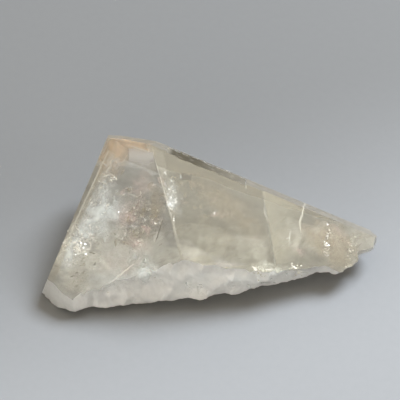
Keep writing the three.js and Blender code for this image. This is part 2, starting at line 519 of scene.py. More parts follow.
@dataclass
class CrystalBody:
    """The crystal itself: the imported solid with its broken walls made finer.

    Flat faces keep their planes. Broken walls are cut into small facets, eased into shell-like
    bowls and given fine steps, and where they meet a flat face they only move within its plane.
    """

    BROKEN = "broken"
    SKIN = "skin"

    node: str = "topaz_crystal"
    weld: float = 0.002 * MM
    flat_area: float = 3.0 * MM * MM
    flat_angle: float = 0.4
    resting: float = -0.99
    one_plane: float = 0.999
    cuts: int = 2
    long_edge: float = 0.3 * MM
    easing: int = 2
    grain_size: float = 0.9 * MM
    grain_depth: float = 0.05 * MM
    grain_noise: tuple[float, float, int] = (0.9, 2.1, 4)
    wander: float = 1.4
    wander_size: float = 2.2 * MM
    patch_size: float = 1.7 * MM
    step_pitch: float = 0.55 * MM
    step_depth: float = 0.05 * MM
    # The painted shade under the crest: how deep under it, where it starts and thins, and how matt it is.
    painted_shade_depth: float = 0.6 * MM
    painted_shade_start: float = 1.6 * MM
    painted_shade_rise: float = 2.0 * MM
    painted_shade_middle: float = 7.0 * MM
    painted_shade_rest: float = 8.0 * MM
    painted_shade_fade: float = 0.25
    painted_shade_matt: float = 0.5
    # The mottling of the painted shade under the crest.
    spot_size: float = 1.3 * MM
    spot_noise: tuple[float, float, int] = (0.8, 2.0, 3)
    spot_mean: float = 1.15
    spot_swing: float = 0.55
    same_way: float = 0.98
    crest_way: float = 0.6
    shoulder: tuple[float, float] = (81.0, 38.8)
    belly_from: float = -0.1
    belly_blur: float = 0.5
    # Where the underside gets painted shade: behind the foot line of the front wall, and a share of it
    # under the left face.
    foot_start: Vector = fixed(-6.1, 0.25, 0.0, scale=MM)
    foot_back: Vector = fixed(0.376, 0.927, 0.0)
    foot_blur: float = 0.5 * MM
    left_share: float = 0.6
    belly_painted_shade: float = 0.18
    milk: float = 0.51
    milk_from: float = 3.0 * MM
    scatter: float = 0.6

    def build(self) -> bpy.types.Object:
        """Makes the refined crystal.

        Returns:
            The object.
        """
        source = frame["nodes"][self.node]
        shape = bmesh.new()
        shape.from_mesh(source.data)
        bmesh.ops.remove_doubles(shape, verts=shape.verts, dist=self.weld)
        flat = self.flat_faces(shape)
        layer = shape.faces.layers.int.new("flat")
        for face in shape.faces:
            face[layer] = int(face.index in flat)
        self.refine(shape, layer)
        self.roughen(shape, layer)
        bmesh.ops.triangulate(shape, faces=[f for f in shape.faces if len(f.verts) > 3])
        made = bpy.data.meshes.new(self.node + "_stone")
        for face in shape.faces:
            face.smooth = not face[layer]
        shape.normal_update()
        shape.to_mesh(made)
        shape.free()
        self.mark_broken(made)
        self.colour_skin(made)
        return placed(made.name, made)

    def flat_faces(self, shape: bmesh.types.BMesh) -> set[int]:
        """Finds the faces that belong to large flat patches.

        Args:
            shape: The welded solid.

        Returns:
            The indices of those faces.
        """
        shape.faces.ensure_lookup_table()
        shape.faces.index_update()
        shape.normal_update()
        same = math.cos(math.radians(self.flat_angle))
        seen: set[int] = set()
        flat: set[int] = set()
        planes: list[tuple[Vector, Vector]] = []
        for start in shape.faces:
            if start.index in seen or start.normal.z < self.resting:
                continue
            seen.add(start.index)
            patch = [start]
            for face in patch:
                for edge in face.edges:
                    for other in edge.link_faces:
                        if other.index not in seen and other.normal.dot(start.normal) > same:
                            seen.add(other.index)
                            patch.append(other)
            if sum(face.calc_area() for face in patch) > self.flat_area:
                flat.update(face.index for face in patch)
                planes.append((start.verts[0].co.copy(), start.normal.copy()))
        for face in shape.faces:
            for point, normal in planes:
                if all(abs((vert.co - point).dot(normal)) < self.weld for vert in face.verts):
                    flat.add(face.index)
        return flat

    def refine(self, shape: bmesh.types.BMesh, layer: bmesh.types.BMLayerItem) -> None:
        """Cuts the edges of the broken faces into short ones and eases the bowls.

        Args:
            shape: The solid, changed in place.
            layer: Says which faces are flat.
        """
        for _ in range(self.cuts):
            edges = [
                e
                for e in shape.edges
                if e.calc_length() > self.long_edge and any(not f[layer] for f in e.link_faces)
            ]
            bmesh.ops.subdivide_edges(shape, edges=edges, cuts=1, use_grid_fill=True)
            many = [f for f in shape.faces if len(f.verts) > 3 and not f[layer]]
            bmesh.ops.triangulate(shape, faces=many)
        inner = [v for v in shape.verts if v.link_faces and not any(f[layer] for f in v.link_faces)]
        for _ in range(self.easing):
            bmesh.ops.smooth_vert(
                shape, verts=inner, factor=0.5, use_axis_x=True, use_axis_y=True, use_axis_z=True
            )

    def roughen(self, shape: bmesh.types.BMesh, layer: bmesh.types.BMLayerItem) -> None:
        """Moves the vertices of the broken faces by a fine relief.

        Args:
            shape: The solid, changed in place.
            layer: Says which faces are flat.
        """
        shape.normal_update()
        moves: list[tuple[bmesh.types.BMVert, Vector]] = []
        for vert in shape.verts:
            flats = [f.normal for f in vert.link_faces if f[layer]]
            rough = [f for f in vert.link_faces if not f[layer]]
            if not rough:
                continue
            normal = sum((f.normal for f in rough), Vector()).normalized()
            move = -normal * self.relief(vert.co)
            for plane in flats:
                move -= plane * move.dot(plane)
            if len(flats) > 1 and any(a.dot(flats[0]) < self.one_plane for a in flats):
                continue
            moves.append((vert, move))
        for vert, move in moves:
            vert.co += move
            vert.co.z = max(vert.co.z, 0.0)

    def relief(self, place: Vector) -> float:
        """How far a broken wall lies below its mean form.

        Args:
            place: A point on the wall.

        Returns:
            The depth in metres.
        """
        cloud = noise.fractal(place / self.grain_size, *self.grain_noise)
        along = place.dot(LONG_AXIS) / self.step_pitch
        wander = self.wander * noise.noise(place / self.wander_size)
        tooth = (along + wander) % 1.0
        reach = max(0.0, noise.noise(place / self.patch_size + Vector((7.0, 0.0, 0.0))))
        return self.grain_depth * (0.5 + cloud) + self.step_depth * tooth * reach

    def mark_broken(self, made: bpy.types.Mesh) -> None:
        """Stores 1 on the corners of broken faces, which are the smooth ones, and 0 on the rest.

        Args:
            made: The finished mesh.
        """
        layer = made.attributes.new(self.BROKEN, "FLOAT", "CORNER")
        for polygon in made.polygons:
            for loop in polygon.loop_indices:
                layer.data[loop].value = float(polygon.use_smooth)

    def colour_skin(self, made: bpy.types.Mesh) -> None:
        """Stores the colour of the skin on each corner, and as its alpha how much it scatters. The
        colours hold painted light and shade: tones that differ face by face, a painted shade under the
        crest and a painted shade on the underside behind the front wall's foot.

        Args:
            made: The finished mesh.
        """
        crest = Face.CREST.frame()
        crest_out = crest.to_3x3().col[2].normalized()
        level = crest.inverted()
        ways = {
            Zone.FRONT: Face.FRONT.frame().to_3x3().col[2],
            Zone.LEFT: Face.LEFT.frame().to_3x3().col[2],
            Zone.CREST: crest_out,
            Zone.SHOULDER: facing(*self.shoulder),
        }
        layer = made.attributes.new(self.SKIN, "FLOAT_COLOR", "CORNER")
        wall, belly = Vector(Zone.WALL.value), Vector(Zone.BELLY.value)
        for polygon in made.polygons:
            near = max(ways, key=lambda zone: ways[zone].dot(polygon.normal))
            close = ways[near].dot(polygon.normal)
            under = (crest.translation - polygon.center).dot(crest_out)
            for loop in polygon.loop_indices:
                scatter = 0.0
                vertex = made.vertices[made.loops[loop].vertex_index]
                # Flat faces take their zone's tone, which differs face by face as painted light and
                # shade.
                if not polygon.use_smooth:
                    colour = Vector((near if close > self.same_way else Zone.BACK).value)
                # Under the crest: a mottled painted shade, made matt.
                elif abs(under) < self.painted_shade_depth and polygon.normal.dot(crest_out) > self.crest_way:
                    cloud = noise.fractal(vertex.co / self.spot_size, *self.spot_noise)
                    dark = clamp(self.spot_mean + self.spot_swing * cloud)
                    dark *= self.painted_shade_share((level @ vertex.co).x)
                    colour = Vector(Zone.CREST.value).lerp(Vector(Zone.BRUISE.value), dark)
                    scatter = self.painted_shade_matt * dark
                else:
                    under_side = clamp((self.belly_from - vertex.normal.z) / self.belly_blur)
                    # Painted shade: the underside is darkened behind the foot of the front wall.
                    shade = 1.0 - self.belly_painted_shade * self.behind_foot(vertex.co)
                    colour = wall.lerp(belly * shade, under_side)
                    milk = self.milk if abs(under) > self.milk_from else 0.0
                    scatter = milk + (self.scatter - milk) * under_side
                layer.data[loop].color = (*colour, scatter)

    def painted_shade_share(self, along: float) -> float:
        """How dark the painted shade under the crest is, which starts softly and thins out to the right.

        Args:
            along: Metres along the crest.

        Returns:
            The share, from 0 to 1.
        """
        starts = clamp((along - self.painted_shade_start) / self.painted_shade_rise)
        ends = clamp((along - self.painted_shade_middle) / self.painted_shade_rest)
        return starts * (1.0 - self.painted_shade_fade * ends)

    def behind_foot(self, place: Vector) -> float:
        """How far a point of the underside lies behind the lighter foot of the front wall; the underside
        there gets painted shade.

        Args:
            place: The point.

        Returns:
            0 on the foot, 1 behind it, and the left share under the left face.
        """
        away = (place - self.foot_start) / self.foot_blur
        back = clamp(0.5 + away.dot(self.foot_back))
        right = clamp(0.5 + 0.5 * away.x)
        return back * right + self.left_share * (1.0 - right)


class Face(Enum):
    """A face that features are placed from: azimuth, tilt, turn about the long axis and origin."""

    LEFT = (-109.4, 31.5, 0.0, (-8.886, 7.345, 16.55))
    FRONT = (-64.2, 26.8, 0.0, (-8.886, 7.345, 16.55))
    CREST = (-64.2, 26.8, -56.0, (-8.886, 7.345, 16.55))
    WALL = (-85.5, 72.0, 0.0, (-9.286, -10.305, 4.55))

    def frame(self) -> Matrix:
        """Where the face is: local X runs along the crystal and local Z out of the face."""
        azimuth, tilt, turn, origin = self.value
        out = Matrix.Rotation(math.radians(turn), 3, LONG_AXIS) @ facing(azimuth, tilt)
        along = (LONG_AXIS - out * out.dot(LONG_AXIS)).normalized()
        turned = Matrix((along, out.cross(along), out)).transposed().to_4x4()
        return Matrix.Translation(Vector(origin) * MM) @ turned


@dataclass
class Layer:
    """The mesh of one kind of inner feature, all of it kept in the room inside the stone."""

    FADE = "fade"
    RAY_START = 6.0 * MM
    SHARD_LONG = (0.6, 1.3)
    SHARD_WIDE = 0.7
    SHARD_HIGH = 0.28
    SHARD_UNEVEN = 0.25

    tree: BVHTree
    shape: bmesh.types.BMesh = field(default_factory=bmesh.new)
    fade: bmesh.types.BMLayerItem = field(init=False)

    def __post_init__(self) -> None:
        """Lets each vertex hold how full the layer is there."""
        self.fade = self.shape.verts.layers.float.new(self.FADE)

    def under(self, frame: Matrix, along: float, across: float, depth: float) -> Vector:
        """A point under the surface that is met square to a face.

        Args:
            frame: The face's frame.
            along: Metres along the face.
            across: Metres across the face.
            depth: Metres under the surface.

        Returns:
            The point.
        """
        out = frame.to_3x3().col[2].normalized()
        hit, _, _, _ = self.tree.ray_cast(frame @ Vector((along, across, self.RAY_START)), -out)
        return (hit or frame @ Vector((along, across, 0.0))) - out * depth

    def vert(self, place: Vector, margin: float, full: float = 1.0) -> bmesh.types.BMVert:
        """Adds a vertex, moved to just under the surface if it lies outside the stone, or nearly.

        Args:
            place: Where it should be.
            margin: The least depth in metres, or under 0 for a point that may stand out.
            full: How full the layer is there.

        Returns:
            The vertex.
        """
        near, normal, _, _ = self.tree.find_nearest(place)
        if (place - near).dot(normal) > -margin:
            place = near - normal * margin
        made = self.shape.verts.new(place)
        made[self.fade] = full
        return made

    def slab(
        self, upper: list[Vector], lower: list[Vector], margin: float, fulls: tuple[float, ...]
    ) -> None:
        """Adds a closed flat slab.

        Args:
            upper: The corners of its upper side.
            lower: The corners of its lower side.
            margin: The least depth in metres.
            fulls: How full the layer is at each corner.
        """
        top, under = (
            [self.vert(place, margin, full) for place, full in zip(side, fulls)]
            for side in (upper, lower)
        )
        self.shape.faces.new(top)
        self.shape.faces.new(under[::-1])
        for quad in zip(top, under, next_on(under), next_on(top)):
            self.shape.faces.new(quad)

    def shard(self, chance: random.Random, middle: Vector, size: float, margin: float) -> None:
        """Adds a tiny flat shard that lies any way.

        Args:
            chance: Where its form comes from.
            middle: Its middle.
            size: Its reach in metres.
            margin: The least depth in metres.
        """
        axis = Vector([chance.gauss(0.0, 1.0) for _ in range(3)]).normalized()
        turned = axis.to_track_quat("Z", "Y").to_matrix()
        sides = chance.randint(3, 5)
        spots = []
        for k in range(sides):
            angle = math.tau * (k + chance.uniform(-self.SHARD_UNEVEN, self.SHARD_UNEVEN)) / sides
            reach = size * chance.uniform(*self.SHARD_LONG)
            spots.append((math.cos(angle) * reach, math.sin(angle) * reach * self.SHARD_WIDE, 0.0))
        spots += [(0.0, 0.0, self.SHARD_HIGH * size), (0.0, 0.0, -self.SHARD_HIGH * size)]
        *ring, upper, lower = [self.vert(middle + turned @ Vector(spot), margin) for spot in spots]
        for one, after in zip(ring, next_on(ring)):
            self.shape.faces.new((one, after, upper))
            self.shape.faces.new((after, one, lower))


@dataclass(frozen=True)
class Feature:
    """Something of one kind in the stone, placed in millimetres along and across a face."""

    MARGIN = 0.1

    kind: Kind

    def add(self, layer: Layer, face: Matrix) -> None:
        """Adds the feature to its layer.

        Args:
            layer: The layer.
            face: The frame of the face that it is placed from.
        """
        raise NotImplementedError


@dataclass(frozen=True)
class Veil(Feature):
    """A thin round sheet of cloud or stain, thickest in its middle."""

    RIM_WAVES = 1.7
    BOW_WAVES = 2.0

    centre: Pair
    depth: float
    reach: Pair
    turn: float = 0.0
    lean: float = 0.0
    bow: float = 0.3
    full: float = 1.0
    hugs: bool = False
    thick: float = 0.12
    ragged: float = 0.56
    rings: int = 9
    spokes: int = 44

    @classmethod
    def film(cls, kind: Kind, centre: Pair, reach: Pair, full: float, turn: float = 0.0) -> "Veil":
        """A veil that lies on the surface and follows it.

        Args:
            kind: What it is made of.
            centre: Its middle.
            reach: How far it spreads each way.
            full: How full it is.
            turn: Degrees that it is turned by.

        Returns:
            The veil.
        """
        return cls(kind, centre, -0.01, reach, turn, bow=0.0, full=full, hugs=True, thick=0.03)

    def add(self, layer: Layer, face: Matrix) -> None:
        """Adds the sheet, ring by ring on both sides; see Feature."""
        frame = (
            face
            @ Matrix.Translation(Vector((*self.centre, -self.depth)) * MM)
            @ Matrix.Rotation(math.radians(self.turn), 4, "Z")
            @ Matrix.Rotation(math.radians(self.lean), 4, "X")
        )
        salt = Vector((self.centre[0], self.centre[1], self.depth * 3.0))

        def point(ring: int, spoke: int, side: float) -> bmesh.types.BMVert:
            """A vertex of the upper side (1), the lower side (-1) or the rim (0)."""
            share = ring / self.rings
            angle = math.tau * spoke / self.spokes
            round_ = Vector((math.cos(angle), math.sin(angle), 0.0))
            out = share * (1.0 + self.ragged * noise.noise(round_ * self.RIM_WAVES + salt))
            wave = 0.5 * self.bow * noise.noise(round_ * share * self.BOW_WAVES + salt * 1.3)
            high = self.bow * (1.0 - share * share) + wave
            half = side * 0.5 * self.thick * math.sqrt(max(0.0, 1.0 - share * share))
            flat = Vector((round_.x * self.reach[0], round_.y * self.reach[1], 0.0)) * out
            place = frame @ ((flat + Vector((0.0, 0.0, high + half))) * MM)
            if self.hugs:
                local = face.inverted() @ place
                place = layer.under(face, local.x, local.y, (self.depth - high - half) * MM)
            full = self.full * (1.0 - share * share * (3.0 - 2.0 * share))
            return layer.vert(place, min(self.MARGIN, self.depth - 0.03) * MM, full)

        rim = [point(self.rings, k, 0.0) for k in range(self.spokes)]
        for side in (1, -1):
            rows = [[point(r, k, side) for k in range(self.spokes)] for r in range(1, self.rings)]
            rows.append(rim)
            top = point(0, 0, side)
            for k in range(self.spokes):
                after = (k + 1) % self.spokes
                layer.shape.faces.new((top, rows[0][k], rows[0][after])[::side])
                for low, high in zip(rows, rows[1:]):
                    layer.shape.faces.new((low[k], high[k], high[after], low[after])[::side])


@dataclass(frozen=True)
class Pane(Feature):
    """A flat sheet with straight sides: a cleavage pane, and along the foot and the left edge a pale
    painted reflection at the surface.
    """

    corners: Corners
    depth: float
    full: float | tuple[float, ...] = 1.0
    thick: float = 0.08

    def add(self, layer: Layer, face: Matrix) -> None:
        """Adds the pane; see Feature."""
        sides = (
            [face @ (Vector((*corner, -self.depth + half)) * MM) for corner in self.corners]
            for half in (0.5 * self.thick, -0.5 * self.thick)
        )
        fulls = self.full if isinstance(self.full, tuple) else (self.full,) * len(self.corners)
        layer.slab(*sides, min(self.MARGIN, self.depth - self.thick) * MM, fulls)


@dataclass(frozen=True)
class Crack(Feature):
    """A crack that follows a path along a face and goes down into the stone, thin at its ends."""

    END = 0.02
    SWAY = 0.3
    NARROWS = 0.85
    THINS = 0.75
    WAVES = 2.0

    path: Corners
    deep: float
    width: float = 0.16
    start: float = -0.02
    lean: float = 0.15
    jitter: float = 0.12
    pitch: float = 0.22
    levels: int = 4
    full: float = 1.0

    def add(self, layer: Layer, face: Matrix) -> None:
        """Adds the crack, as rings of vertices round it from one end to the other; see Feature."""
        out = face.to_3x3().col[2].normalized()
        line = self.line()
        rows: list[list[bmesh.types.BMVert]] = []
        for k, (along, across) in enumerate(line):
            share = k / (len(line) - 1)
            gape = math.sqrt(math.sin(math.pi * min(max(share, self.END), 1.0 - self.END)))
            before, after = line[max(0, k - 1)], line[min(len(line) - 1, k + 1)]
            run = Vector((after[0] - before[0], after[1] - before[1], 0.0)).normalized()
            side = face.to_3x3() @ Vector((-run.y, run.x, 0.0))
            top = layer.under(face, along * MM, across * MM, self.start * MM)
            left, right = [], []
            for level in range(self.levels + 1):
                part = level / self.levels
                wave = self.SWAY * noise.noise(Vector((along, across, part)) * self.WAVES)
                down = (side * (self.lean + wave) - out) * (self.deep * gape * part * MM)
                half = side * (0.5 * self.width * gape * (1.0 - self.NARROWS * part) * MM)
                full = self.full * (1.0 - self.THINS * part)
                left.append(layer.vert(top + down + half, self.start * MM, full))
                right.append(layer.vert(top + down - half, self.start * MM, full))
            rows.append(left + right[::-1])
        for low, high in zip(rows, rows[1:]):
            for quad in zip(low, next_on(low), next_on(high), high):
                layer.shape.faces.new(quad)
        layer.shape.faces.new(rows[0][::-1])
        layer.shape.faces.new(rows[-1])

    def line(self) -> list[Pair]:
        """The path in short steps that wander a little, in millimetres."""
        steps: list[Pair] = []
        for (x0, y0), (x1, y1) in zip(self.path, self.path[1:]):
            count = max(1, round(math.dist((x0, y0), (x1, y1)) / self.pitch))
            steps += [(x0 + (x1 - x0) * k / count, y0 + (y1 - y0) * k / count) for k in range(count)]
        steps.append(self.path[-1])
        return [
            (
                x + self.jitter * noise.noise(Vector((x * 2.1, y * 2.1, 0.5))),
                y + self.jitter * noise.noise(Vector((x * 2.1, y * 2.1, 9.5))),
            )
            for x, y in steps
        ]


@dataclass(frozen=True)
class Flecks(Feature):
    """Single points at the surface, each a small knot of shards."""

    SPREAD = 0.6
    SIZES = (0.5, 1.0)

    spots: Spots
    shards: int = 4
    stand: float = 0.02
    seed: int = 1

    def add(self, layer: Layer, face: Matrix) -> None:
        """Adds the points; see Feature."""
        chance = random.Random(self.seed)
        for along, across, size in self.spots:
            for _ in range(self.shards):
                x, y = (at + chance.gauss(0.0, self.SPREAD) * size for at in (along, across))
                middle = layer.under(face, x * MM, y * MM, 0.0)
                reach = chance.uniform(*self.SIZES) * size * MM
                layer.shard(chance, middle, reach, -self.stand * MM)


@dataclass(frozen=True)
class Scattered(Feature):
    """Many small things strewn about one place, the same ones each run."""

    SPREAD = 0.45

    centre: Pair
    reach: Pair
    count: int
    turn: float = field(default=0.0, kw_only=True)
    seed: int = field(default=1, kw_only=True)

    def add(self, layer: Layer, face: Matrix) -> None:
        """Draws one place after another and adds one thing at each; see Feature."""
        chance = random.Random(self.seed)
        swing = Matrix.Rotation(math.radians(self.turn), 2)
        for _ in range(self.count):
            away = Vector([chance.gauss(0.0, self.SPREAD) * reach for reach in self.reach])
            self.add_one(layer, face, Vector(self.centre) + swing @ away, chance)

    def add_one(self, layer: Layer, face: Matrix, spot: Vector, chance: random.Random) -> None:
        """Adds one thing.

        Args:
            layer: The layer.
            face: The face's frame.
            spot: Its place on the face in millimetres.
            chance: Where its form comes from.
        """
        raise NotImplementedError


@dataclass(frozen=True)
class Flakes(Scattered):
    """Tiny shards, which sparkle or show dark."""

    size: Pair
    depth: Pair

    def add_one(self, layer: Layer, face: Matrix, spot: Vector, chance: random.Random) -> None:
        """Adds one shard; see Scattered."""
        middle = layer.under(face, *(spot * MM), chance.uniform(*self.depth) * MM)
        reach = chance.uniform(*self.size) * MM
        layer.shard(chance, middle, reach, min(self.MARGIN, self.depth[0]) * MM)


@dataclass(frozen=True)
class Crackle(Scattered):
    """Short hair cracks, running every way or mostly one way."""

    STEPS = 3
    BEND = 0.5

    length: Pair = (0.4, 1.6)
    width: Pair = (0.03, 0.07)
    deep: float = 0.35
    run: float = 180.0

    def add_one(self, layer: Layer, face: Matrix, spot: Vector, chance: random.Random) -> None:
        """Adds one crack; see Scattered."""
        way = math.radians(self.turn + chance.uniform(-0.5, 0.5) * self.run)
        path = [spot]
        for _ in range(self.STEPS):
            way += chance.uniform(-self.BEND, self.BEND)
            step = chance.uniform(*self.length) / self.STEPS
            path.append(path[-1] + Vector((math.cos(way), math.sin(way))) * step)
        width, lean = chance.uniform(*self.width), chance.uniform(-1.0, 1.0)
        spots = tuple((at.x, at.y) for at in path)
        Crack(self.kind, spots, self.deep, width, lean=lean, levels=2).add(layer, face)


@dataclass(frozen=True)
class Plates(Scattered):
    """Small angular plates that lie nearly level with a face and overlap."""

    FULLS = (0.3, 1.0)
    LONG = (0.6, 1.2)
    WIDE = 0.5
    UNEVEN = 0.3

    size: Pair
    depth: Pair = (-0.02, 0.2)
    full: float = 0.6
    lean: float = 4.0
    thick: float = 0.03

    def add_one(self, layer: Layer, face: Matrix, spot: Vector, chance: random.Random) -> None:
        """Adds one plate; see Scattered."""
        middle = layer.under(face, *(spot * MM), chance.uniform(*self.depth) * MM)
        lean_x, lean_y = (math.radians(chance.uniform(-self.lean, self.lean)) for _ in range(2))
        tilt = Matrix.Rotation(lean_x, 3, "X") @ Matrix.Rotation(lean_y, 3, "Y")
        tilt = face.to_3x3().normalized() @ tilt
        size = chance.uniform(*self.size) * MM
        full = self.full * chance.uniform(*self.FULLS)
        outline = self.outline(chance, size)
        sides = (
            [middle + tilt @ Vector((*corner, half * MM)) for corner in outline]
            for half in (0.5 * self.thick, -0.5 * self.thick)
        )
        layer.slab(*sides, min(self.MARGIN, self.depth[0]) * MM, (full,) * len(outline))

    def outline(self, chance: random.Random, size: float) -> list[Pair]:
        """The corners of a plate, uneven and longer than wide.

        Args:
            chance: Where its form comes from.
            size: Its reach in metres.

        Returns:
            The corners about its middle, in metres.
        """
        sides = chance.randint(3, 5)
        way = chance.uniform(0.0, math.tau)
        cos, sin = math.cos(way), math.sin(way)
        corners = []
        for k in range(sides):
            angle = math.tau * (k + chance.uniform(-self.UNEVEN, self.UNEVEN)) / sides
            reach = 0.5 * size * chance.uniform(*self.LONG)
            length, width = math.cos(angle) * reach, math.sin(angle) * reach * self.WIDE
            corners.append((length * cos - width * sin, length * sin + width * cos))
        return corners


